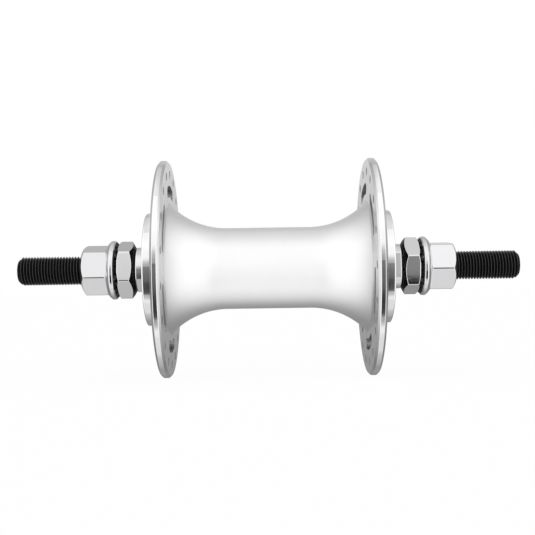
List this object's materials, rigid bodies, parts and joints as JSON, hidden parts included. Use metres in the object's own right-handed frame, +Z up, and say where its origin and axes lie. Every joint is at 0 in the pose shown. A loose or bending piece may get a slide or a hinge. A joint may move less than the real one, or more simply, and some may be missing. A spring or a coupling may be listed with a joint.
{
  "type": "bicycle wheel hub",
  "caption": "Nutted front hub for a small-wheel bicycle, with an aluminium spool shell, cup-and-cone ball bearings and a threaded solid axle.",
  "frame": {"origin": "middle of the axle, between the flanges", "axes": "+Y along the axle to the bicycle's left, +Z up, +X forwards"},
  "size_m": [0.0728, 0.1678, 0.0728],
  "materials": {
    "anodised_shell": "bead-blasted and clear anodised",
    "race_steel": "ground",
    "ball_steel": "polished",
    "cage_steel": "stamped",
    "cap_steel": "drawn and black-phosphated",
    "nut_chrome": "bright plated",
    "axle_steel": "black oxide"
  },
  "bodies": {
    "axle_group": {"axle": "axle_steel", "left_cone": "nut_chrome", "left_locknut": "nut_chrome", "right_cone": "nut_chrome", "right_locknut": "nut_chrome"},
    "shell_group": {"hub_shell": "anodised_shell", "left_bearing_cup": "race_steel", "left_dust_cap": "cap_steel", "right_bearing_cup": "race_steel", "right_dust_cap": "cap_steel"},
    "left_ball_train": {"left_balls": "ball_steel", "left_ball_retainer": "cage_steel"},
    "left_washer_body": {"left_serrated_washer": "nut_chrome"},
    "left_nut_body": {"left_axle_nut": "nut_chrome"},
    "right_ball_train": {"right_balls": "ball_steel", "right_ball_retainer": "cage_steel"},
    "right_washer_body": {"right_serrated_washer": "nut_chrome"},
    "right_nut_body": {"right_axle_nut": "nut_chrome"}
  },
  "joints": [
    {"name": "hub_spin", "type": "hinge", "parent": "axle_group", "child": "shell_group", "pos_m": [0, 0, 0], "axis": [0, 1, 0], "continuous": true},
    {"name": "left_balls_roll", "type": "hinge", "parent": "axle_group", "child": "left_ball_train", "pos_m": [0, 0, 0], "axis": [0, 1, 0], "continuous": true},
    {"name": "left_washer_slide", "type": "slide", "parent": "axle_group", "child": "left_washer_body", "axis": [0, 1, 0], "range_m": [0, 0.01954]},
    {"name": "left_nut_turn", "type": "hinge", "parent": "left_washer_body", "child": "left_nut_body", "pos_m": [0, 0, 0], "axis": [0, 1, 0], "range_deg": [0, 7200]},
    {"name": "right_balls_roll", "type": "hinge", "parent": "axle_group", "child": "right_ball_train", "pos_m": [0, 0, 0], "axis": [0, 1, 0], "continuous": true},
    {"name": "right_washer_slide", "type": "slide", "parent": "axle_group", "child": "right_washer_body", "axis": [0, -1, 0], "range_m": [0, 0.01954]},
    {"name": "right_nut_turn", "type": "hinge", "parent": "right_washer_body", "child": "right_nut_body", "pos_m": [0, 0, 0], "axis": [0, -1, 0], "range_deg": [0, 7200]}
  ],
  "couplings": [
    {"joint": "left_balls_roll", "follows": "hub_spin", "ratio": 0.5979},
    {"joint": "left_nut_turn", "follows": "left_washer_slide", "rad_per_m": 6431.6},
    {"joint": "right_balls_roll", "follows": "hub_spin", "ratio": 0.5979},
    {"joint": "right_nut_turn", "follows": "right_washer_slide", "rad_per_m": 6431.6}
  ]
}
